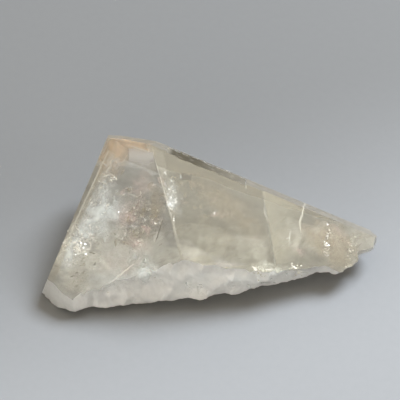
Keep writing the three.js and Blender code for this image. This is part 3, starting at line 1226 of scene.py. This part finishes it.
@dataclass
class Inclusions:
    """Everything that is seen inside the stone, and painted reflections at its surface, one piece for
    each kind, in millimetres.
    """

    stone: bpy.types.Object
    # The foot: a pale sheet at the surface along the front wall, a painted reflection.
    foot: Corners = (
        (8.8, -12.0), (10.6, -14.4), (13.4, -14.4), (17.0, -13.2), (20.1, -11.5), (17.7, -11.7),
        (15.2, -12.1), (12.7, -12.3), (10.4, -11.4),
    )
    foot_full: tuple[float, ...] = (0.0, 0.13, 0.2, 0.26, 0.1, 0.0, 0.05, 0.1, 0.05)
    # The left strip: a pale sheet at the surface along the left edge, a painted reflection.
    left_strip: Corners = (
        (-6.0, -3.0), (-4.6, -3.4), (-4.6, -14.8), (-6.0, -22.0), (-7.2, -22.0), (-6.6, -15.0),
    )
    left_strip_full: tuple[float, ...] = (0.34, 0.24, 0.2, 0.1, 0.26, 0.34)
    left_sparks: Spots = (
        (-5.0, -11.2, 0.24), (-2.7, -10.9, 0.30), (-2.7, -9.2, 0.12), (-0.9, -8.6, 0.20),
        (-0.9, -15.0, 0.22), (1.4, -13.7, 0.20), (1.4, -14.6, 0.20), (-0.5, -12.0, 0.16),
        (-3.5, -15.8, 0.20), (-4.3, -18.4, 0.34), (-3.7, -16.7, 0.22), (-4.6, -21.3, 0.18),
        (-1.0, -20.5, 0.22), (2.7, -5.5, 0.18), (4.6, -10.6, 0.26), (5.1, -10.7, 0.24),
        (5.8, -10.4, 0.20), (3.7, -14.4, 0.24), (4.4, -14.5, 0.20),
    )
    left_specks: Spots = (
        (-5.0, -16.6, 0.10), (-4.4, -17.0, 0.10), (-1.7, -20.5, 0.10), (-0.6, -7.5, 0.16),
        (2.5, -8.3, 0.10), (2.9, -14.8, 0.10), (1.3, -15.4, 0.08), (5.5, -10.2, 0.08),
    )
    front_sparks: Spots = (
        (3.6, -3.2, 0.20), (4.7, -4.3, 0.16), (5.2, -5.3, 0.20), (7.1, -6.1, 0.16), (7.3, -9.6, 0.12),
        (12.6, -6.2, 0.18), (17.0, -4.5, 0.12), (15.7, -4.1, 0.08), (18.6, -2.9, 0.10),
        (24.6, -5.2, 0.20),
    )
    front_specks: Spots = (
        (9.0, -1.6, 0.08), (10.1, -4.1, 0.08), (11.1, -4.2, 0.07), (12.6, -4.4, 0.09),
        (14.9, -3.2, 0.08), (12.9, -8.1, 0.07), (17.5, -6.2, 0.07), (4.6, -3.1, 0.09),
    )
    wall_sparks: Spots = ((0.5, 1.5, 0.22), (5.8, 2.2, 0.16), (-5.3, -3.2, 0.22))
    tip_crack: Corners = ((25.1, 0.7), (25.2, -1.5), (25.3, -2.4), (26.1, -3.9))
    ridge: Corners = ((0.3, -0.4), (6.0, -8.2), (10.4, -14.2))
    ridge_strip: Corners = ((0.4, -0.4), (6.0, -8.0), (8.0, -10.9), (7.0, -8.2), (2.2, -0.4))
    past_ledge: Corners = (
        (18.3, 0.3), (20.8, -4.0), (24.1, -9.7), (26.8, -8.2), (26.2, -4.4), (25.2, 0.5),
    )

    def build(self) -> list[bpy.types.Object]:
        """Makes the pieces.

        Returns:
            One piece for each kind.
        """
        solid = bmesh.new()
        solid.from_mesh(self.stone.data)
        tree = BVHTree.FromBMesh(solid)
        solid.free()
        groups = (
            (Face.LEFT, self.left_face()),
            (Face.FRONT, self.front_face() + self.tip() + self.rim()),
            (Face.CREST, self.crest()),
            (Face.WALL, [Flecks(Kind.WHITE, self.wall_sparks, 3, seed=32)]),
        )
        made: list[bpy.types.Object] = []
        for kind in Kind:
            layer = Layer(tree)
            for face, features in groups:
                for feature in features:
                    if feature.kind is kind:
                        feature.add(layer, face.frame())
            shape = layer.shape
            bmesh.ops.triangulate(shape, faces=[f for f in shape.faces if len(f.verts) > 4])
            bmesh.ops.recalc_face_normals(shape, faces=shape.faces)
            data = bpy.data.meshes.new(kind.value)
            shape.to_mesh(data)
            shape.free()
            data.materials.append(FINISHES[kind].build(kind))
            made.append(placed("inner_" + kind.value, data))
        return made

    def left_face(self) -> list[Feature]:
        """What shows through the left face: tan top, window, frost, brown mottles, scratches and a pale
        painted reflection along its left edge.
        """
        cloud, stain, amber, blush, pane, cream, white, dark = Kind
        return [
            Veil(amber, (-4.7, -2.9), 0.7, (2.8, 5.8), turn=-12, bow=0.1, full=1.8),
            Veil(amber, (-2.6, -0.8), 0.6, (5.0, 1.5), turn=6, bow=0.1, full=1.5),
            Pane(pane, ((-3.2, -1.4), (-1.9, -4.4), (2.2, -3.5), (0.6, -1.0)), 0.6, (1.5, 0.0, 0.0, 1.2)),
            Crack(white, ((-3.2, -1.3), (0.7, -1.0)), 0.2, width=0.06, jitter=0.04),
            # Painted reflection: a pale strip along the left edge.
            Pane(cream, self.left_strip, -0.01, self.left_strip_full, 0.03),
            Veil.film(cream, (-3.6, -21.6), (4.6, 3.6), 0.2, -10),
            Veil.film(cloud, (1.6, -21.4), (5.0, 2.4), 0.3, 28),
            Veil.film(cloud, (-4.0, -12.3), (3.0, 5.4), 0.62, -10),
            Veil.film(cloud, (-1.6, -12.6), (2.8, 4.8), 0.48, -10),
            Veil(cloud, (-4.0, -15.4), 1.0, (2.3, 3.2), turn=-10, lean=-6, full=0.6),
            Veil.film(cloud, (-5.0, -18.2), (2.8, 4.4), 0.8, -10),
            Veil.film(cloud, (6.5, -18.7), (1.6, 1.4), 0.7),
            Veil(stain, (2.0, -9.6), 1.5, (4.4, 5.2), lean=6),
            Veil(stain, (1.9, -12.8), 1.3, (4.0, 3.0), lean=4, turn=-15),
            Veil(stain, (4.2, -7.4), 0.35, (1.6, 2.4), turn=30, bow=0.1, full=1.3),
            Veil(stain, (2.9, -9.6), 0.3, (1.7, 1.1), bow=0.1, full=1.4),
            Veil.film(stain, (4.0, -7.9), (1.6, 2.8), 0.8, 30),
            Veil.film(stain, (3.8, -13.6), (2.2, 1.2), 0.3, 10),
            Veil(stain, (2.2, -15.0), 0.3, (2.4, 0.8), bow=0.1, full=1.4),
            Veil(stain, (3.9, -12.2), 0.3, (2.0, 1.4), bow=0.1),
            Veil(stain, (-0.6, -7.5), 0.2, (0.8, 0.6), bow=0.1, full=1.8),
            Veil(stain, (-3.0, -23.0), 0.5, (3.4, 2.8), bow=0.1, full=0.8),
            Veil.film(blush, (1.1, -6.2), (2.0, 2.6), 0.7),
            Veil.film(blush, (0.6, -11.0), (2.4, 2.4), 0.7),
            Veil.film(blush, (3.9, -14.6), (2.8, 1.4), 0.7),
            Veil.film(blush, (2.4, -18.4), (5.0, 3.6), 0.3),
            Crack(white, ((2.1, -21.7), (4.5, -17.6)), 0.5),
            Crack(white, ((-0.6, -8.1), (0.3, -8.0), (1.3, -8.0)), 0.2, width=0.08),
            Crack(white, ((5.9, -11.9), (6.2, -13.3)), 0.3, width=0.08),
            Crack(white, ((-3.7, -16.7), (-2.8, -17.2), (-2.4, -18.1)), 0.2, width=0.10),
            Crack(dark, ((6.1, -10.0), (6.3, -13.3)), 0.4, width=0.09),
            Crack(dark, ((-2.6, -18.4), (-1.9, -18.35), (-1.5, -18.3)), 0.3, width=0.10),
            Crackle(stain, (2.4, -9.8), (4.4, 5.2), 24, (0.5, 1.6), (0.03, 0.12), seed=21),
            Crackle(white, (2.4, -10.4), (4.2, 5.0), 14, (0.3, 0.9), (0.02, 0.06), seed=22),
            Crackle(white, (-4.4, -14.0), (2.2, 5.2), 50, (0.2, 0.8), (0.03, 0.09), seed=23),
            Crackle(white, (-5.0, -7.2), (1.2, 1.6), 16, (0.6, 1.4), (0.03, 0.06), run=40, seed=27),
            Crackle(stain, (-3.0, -22.6), (3.4, 2.8), 24, (0.3, 1.2), turn=70, run=60, seed=24),
            Crackle(dark, (-3.2, -23.0), (4.0, 3.0), 6, (0.4, 0.9), turn=70, run=60, seed=28),
            Flakes(white, (-4.7, -18.0), (2.2, 3.4), 100, (0.10, 0.30), (-0.09, -0.02), turn=-10, seed=5),
            Flakes(dark, (-4.6, -17.6), (2.0, 2.6), 34, (0.07, 0.16), (-0.09, -0.02), turn=-10, seed=6),
            Flakes(white, (2.2, -11.0), (3.8, 5.0), 30, (0.10, 0.22), (-0.09, -0.04), seed=7),
            Flakes(dark, (2.4, -9.6), (3.4, 4.2), 18, (0.08, 0.16), (-0.09, -0.04), seed=10),
            Plates(cloud, (-3.6, -13.6), (3.4, 7.4), 60, (0.4, 1.1), full=0.6, seed=41),
            Plates(cloud, (-3.2, -13.0), (3.0, 6.4), 26, (1.2, 2.8), full=0.5, seed=46),
            Plates(stain, (3.2, -9.0), (3.0, 4.2), 22, (1.2, 3.0), (-0.02, 0.1), 0.45, seed=42),
            Plates(stain, (2.4, -11.2), (4.4, 6.0), 40, (0.4, 1.0), (0.03, 0.5), 0.9, seed=47),
            Plates(blush, (2.2, -11.5), (4.4, 6.0), 26, (1.0, 2.8), full=0.7, seed=43),
            Plates(cloud, (2.2, -11.0), (4.4, 6.0), 30, (0.8, 2.0), full=0.26, seed=44),
            Plates(stain, (-4.0, -14.5), (3.0, 6.4), 20, (0.6, 1.6), (0.03, 0.3), 0.5, seed=45),
            Flecks(white, self.left_sparks, stand=0.06, seed=8),
            Flecks(dark, self.left_specks, 3, stand=0.06, seed=9),
        ]

    def front_face(self) -> list[Feature]:
        """What shows through the front face: the bright knot, the ledge, the foot's painted reflection
        and faint haze.
        """
        cloud, stain, amber, blush, pane, cream, white, dark = Kind
        return [
            Veil(amber, (14.0, -4.0), 1.4, (9.0, 3.2), turn=-14, lean=2, full=0.25),
            Veil(stain, (12.2, -3.6), 0.9, (5.6, 2.6), turn=-14, lean=3, full=0.4),
            Veil(stain, (17.8, -5.6), 0.9, (4.6, 2.6), turn=-14, lean=-3, full=0.4),
            Veil(stain, (14.5, -9.0), 0.9, (6.0, 2.8), turn=-14, full=0.35),
            # Painted reflection: a pale band along the foot of the front face.
            Pane(pane, self.foot, -0.01, self.foot_full, 0.03),
            Pane(cream, self.past_ledge, 0.4, (0.34, 0.34, 0.3, 0.0, 0.0, 0.1)),
            Pane(pane, self.ridge_strip, 0.15, 0.14),
            Pane(dark, ((5.8, -2.2), (6.3, -3.2), (7.6, -2.8), (7.4, -1.8)), -0.01, 0.3, 0.03),
            Veil.film(cloud, (6.1, -7.2), (1.0, 1.1), 0.8),
            Veil.film(cloud, (6.0, -6.2), (1.8, 3.8), 0.18, 36),
            Plates(cloud, (5.8, -5.4), (1.4, 3.4), 50, (0.2, 0.7), full=0.35, turn=36, seed=51),
            Plates(stain, (9.4, -3.8), (5.0, 2.8), 30, (0.6, 2.0), (0.03, 0.5), 0.7, seed=52),
            Plates(blush, (13.0, -5.6), (7.0, 3.2), 20, (0.8, 2.2), full=0.4, turn=-14, seed=53),
            Crack(white, self.ridge, 0.15, width=0.05, jitter=0.06),
            Crack(cream, ((15.5, 0.5), (15.8, -0.8)), 0.5, full=0.5),
            Crack(cream, ((18.2, 0.5), (19.0, -0.4), (19.6, -3.0), (20.6, -3.9)), 0.3, full=0.2),
            Crack(cream, ((19.4, -2.6), (20.2, -3.5), (20.8, -4.0)), 0.4, width=0.22, full=0.4),
            Crack(cream, ((20.4, -3.9), (21.7, -6.6), (23.7, -9.6)), 0.3, jitter=0.05, full=0.12),
            Crack(cream, self.tip_crack, 0.9, width=0.24, full=0.55),
            Crack(cream, ((24.5, -3.8), (24.6, -5.2), (25.1, -6.3)), 0.6, width=0.18, full=0.5),
            Veil.film(blush, (26.7, -6.4), (1.4, 0.9), 0.6),
            Flakes(white, (6.1, -7.2), (0.8, 1.1), 34, (0.08, 0.22), (-0.02, 0.04), turn=36, seed=2),
            Flakes(white, (5.4, -6.0), (0.9, 3.6), 44, (0.08, 0.18), (-0.03, 0.02), turn=36, seed=16),
            Flakes(white, (7.0, -8.8), (0.6, 1.4), 14, (0.08, 0.18), (-0.03, 0.02), turn=36, seed=4),
            Flakes(stain, (5.2, -3.6), (1.6, 1.2), 26, (0.10, 0.25), (-0.02, 0.04), seed=17),
            Flecks(white, self.front_sparks, stand=0.06, seed=11),
            Flecks(dark, self.front_specks, 2, seed=12),
        ]

    def crest(self) -> list[Feature]:
        """What shows on the narrow bevel along the top: one crack and two sparks."""
        return [
            Crack(Kind.CREAM, ((25.5, 4.0), (25.2, 0.9)), 0.5, full=0.35),
            Flecks(Kind.WHITE, ((12.3, 2.9, 0.18), (12.8, 2.9, 0.12)), seed=15),
        ]

    def tip(self) -> list[Feature]:
        """What shows at the thin right end: two rough patches, a wedge and dark points."""
        _, stain, amber, blush, pane, cream, white, dark = Kind
        return [
            Veil(amber, (30.5, -3.0), 1.2, (5.4, 3.2), turn=-20, full=0.8),
            Veil(stain, (30.5, -4.0), 0.5, (5.8, 3.4), turn=-20, full=1.1),
            Veil.film(blush, (31.2, -1.1), (2.2, 1.0), 0.4, -18),
            Plates(stain, (31.4, -3.0), (4.0, 3.0), 30, (0.5, 1.8), (0.1, 0.5), 0.8, seed=61),
            Plates(blush, (31.4, -2.4), (4.0, 2.6), 16, (0.6, 1.8), (0.1, 0.3), 0.6, seed=63),
            Veil(stain, (31.2, -1.1), 0.3, (2.2, 1.0), turn=-18, bow=0.1, full=0.8),
            Pane(pane, ((28.7, -0.4), (29.4, -0.6), (28.2, -3.0), (27.2, -2.9)), 0.2, 0.25),
            Crackle(stain, (32.0, -3.0), (3.0, 2.8), 14, (0.3, 1.0), turn=-80, run=90, seed=25),
            Flakes(white, (30.2, -3.3), (0.5, 2.6), 34, (0.12, 0.26), (-0.09, -0.04), turn=14, seed=12),
            Flakes(cream, (34.1, -2.2), (0.6, 1.8), 24, (0.14, 0.26), (-0.14, -0.08), turn=4, seed=13),
            Flakes(dark, (30.3, -3.0), (0.6, 2.0), 12, (0.09, 0.16), (-0.10, -0.04), turn=14, seed=20),
            Flakes(dark, (33.6, -3.3), (0.4, 0.4), 8, (0.05, 0.12), (-0.02, 0.03), seed=18),
            Crack(white, ((35.6, -0.3), (35.9, -0.9)), 0.2, width=0.08),
            Flecks(white, ((33.3, -0.2, 0.12), (31.4, -5.5, 0.07)), seed=14),
            Flecks(dark, ((32.3, -0.1, 0.08), (27.2, -3.4, 0.08)), 3, seed=19),
        ]

    def rim(self) -> list[Feature]:
        """What shows at the front wall's upper rim: milky clouds, white veins and flakes."""
        cloud, cream, white = Kind.CLOUD, Kind.CREAM, Kind.WHITE
        return [
            Veil(cloud, (5.0, -18.0), 2.6, (6.0, 3.4), bow=0.1, full=0.8),
            Veil(cloud, (13.5, -16.4), 2.2, (7.0, 3.2), turn=14, bow=0.1, full=0.8),
            Veil(cloud, (21.0, -13.4), 1.8, (6.0, 2.6), turn=22, bow=0.1, full=0.9),
            Veil(cloud, (25.0, -11.0), 1.0, (4.0, 2.2), turn=22, bow=0.1, full=0.9),
            Crack(white, ((20.7, -11.5), (21.6, -11.8), (23.0, -12.3)), 0.4, width=0.3),
            Crack(white, ((22.8, -11.2), (23.9, -10.8)), 0.4, width=0.16),
            Crack(white, ((26.3, -9.0), (27.7, -9.2), (29.2, -8.7)), 0.4, width=0.3),
            Flakes(cream, (27.4, -9.2), (1.8, 0.7), 40, (0.10, 0.26), (-0.06, 0.0), turn=22, seed=29),
            Flakes(cream, (21.8, -11.6), (1.4, 0.9), 34, (0.10, 0.30), (-0.06, 0.0), turn=-20, seed=30),
            Flakes(white, (34.6, -5.6), (1.2, 0.4), 16, (0.06, 0.16), (-0.02, 0.05), turn=40, seed=31),
        ]


@dataclass(frozen=True)
class Lamp:
    """A square soft lamp that faces the crystal."""

    name: str
    place: Triple
    size: float
    power: float
    colour: Triple

    def build(self) -> None:
        """Hangs the lamp."""
        data = bpy.data.lights.new(self.name, "AREA")
        data.size = self.size
        data.energy = self.power
        data.color = self.colour
        lamp = placed(self.name, data)
        lamp.location = self.place
        lamp.rotation_euler = (-Vector(self.place)).to_track_quat("-Z", "Y").to_euler()


@dataclass
class Studio:
    """The floor, the soft light and the camera."""

    floor_size: float = 2.4
    looks_at: Vector = fixed(-1.52, 9.75, 0.0, scale=MM)
    distance: float = 312.9 * MM
    elevation: float = 52.0
    lens: float = 178.7
    sensor: float = 36.0
    bounces: int = 24
    glossy_bounces: int = 12
    sky_dim: float = 0.09
    sky_bright: float = 0.96
    sky_fall: float = 0.75
    sky_from: Vector = fixed(0.20, 0.55, 0.81)
    sky_tint: Vector = fixed(1.06, 0.97, 0.82)
    dim_tint: Vector = fixed(1.15, 0.94, 0.70)
    lamps: tuple[Lamp, ...] = (
        Lamp("ceiling_panel", (0.43, 0.44, 0.64), 0.38, 16.0, (0.90, 0.98, 1.09)),
        Lamp("front_fill", (-0.12, -0.62, 0.16), 0.4, 1.4, (1.0, 0.94, 0.86)),
    )

    def build(self, floor_finish: FloorFinish) -> None:
        """Makes the floor, the world, the lamps and the camera.

        Args:
            floor_finish: What the floor is finished in.
        """
        self.floor(floor_finish)
        self.world()
        for lamp in self.lamps:
            lamp.build()
        self.camera()

    def floor(self, finish: FloorFinish) -> None:
        """Lays the floor.

        Args:
            finish: Its finish.
        """
        half = self.floor_size / 2
        made = bpy.data.meshes.new("floor")
        corners = [(-half, -half, 0), (half, -half, 0), (half, half, 0), (-half, half, 0)]
        made.from_pydata(corners, [], [(0, 1, 2, 3)])
        made.materials.append(finish.build())
        placed("floor", made)

    def world(self) -> None:
        """Lights the room from all round, most from above and behind."""
        world = bpy.data.worlds.new("room")
        world.use_nodes = True
        make = Nodes(world.node_tree, "OutputWorld")
        way = make.node("TexCoord", "Generated")
        lean = make.vector("DOT_PRODUCT", "Value", i0=way, i1=self.sky_from)
        share = (1.0 - self.sky_fall + self.sky_fall * lean).clamped()
        dim = self.dim_tint * self.sky_dim
        light = make.vector("MULTIPLY_ADD", i0=share, i1=self.sky_tint * self.sky_bright - dim, i2=dim)
        make.finish(make.node("Background", Color=light))
        bpy.context.scene.world = world

    def camera(self) -> None:
        """Sets the camera at the photograph's viewing angle."""
        data = bpy.data.cameras.new("camera")
        data.lens = self.lens
        data.sensor_width = self.sensor
        camera = placed("camera", data)
        high = math.radians(self.elevation)
        back = Vector((0.0, -math.cos(high), math.sin(high)))
        camera.location = self.looks_at + back * self.distance
        camera.rotation_euler = (math.radians(90.0 - self.elevation), 0.0, 0.0)
        bpy.context.scene.camera = camera

    def light_paths(self) -> None:
        """Lets light bend through the crystal as often as it needs to, and keeps plain colours."""
        scene = bpy.context.scene
        scene.cycles.max_bounces = self.bounces
        scene.cycles.transmission_bounces = self.bounces
        scene.cycles.glossy_bounces = self.glossy_bounces
        scene.cycles.transparent_max_bounces = self.bounces
        scene.view_settings.view_transform = "Standard"


def main() -> None:
    """Builds the crystal and the studio and reports each piece."""
    logging.basicConfig(level=logging.INFO, format="%(message)s")
    crystal = CrystalBody()
    stone = crystal.build()
    stone.data.materials.append(TopazFinish().build())
    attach(stone, "root")
    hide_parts(crystal.node)
    LOG.info("%s: %d faces", stone.name, len(stone.data.polygons))
    for piece in Inclusions(stone).build():
        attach(piece, "root")
        LOG.info("%s: %d faces", piece.name, len(piece.data.polygons))

    studio = Studio()
    studio.build(FloorFinish())
    studio.light_paths()


if __name__ == "__main__":
    main()
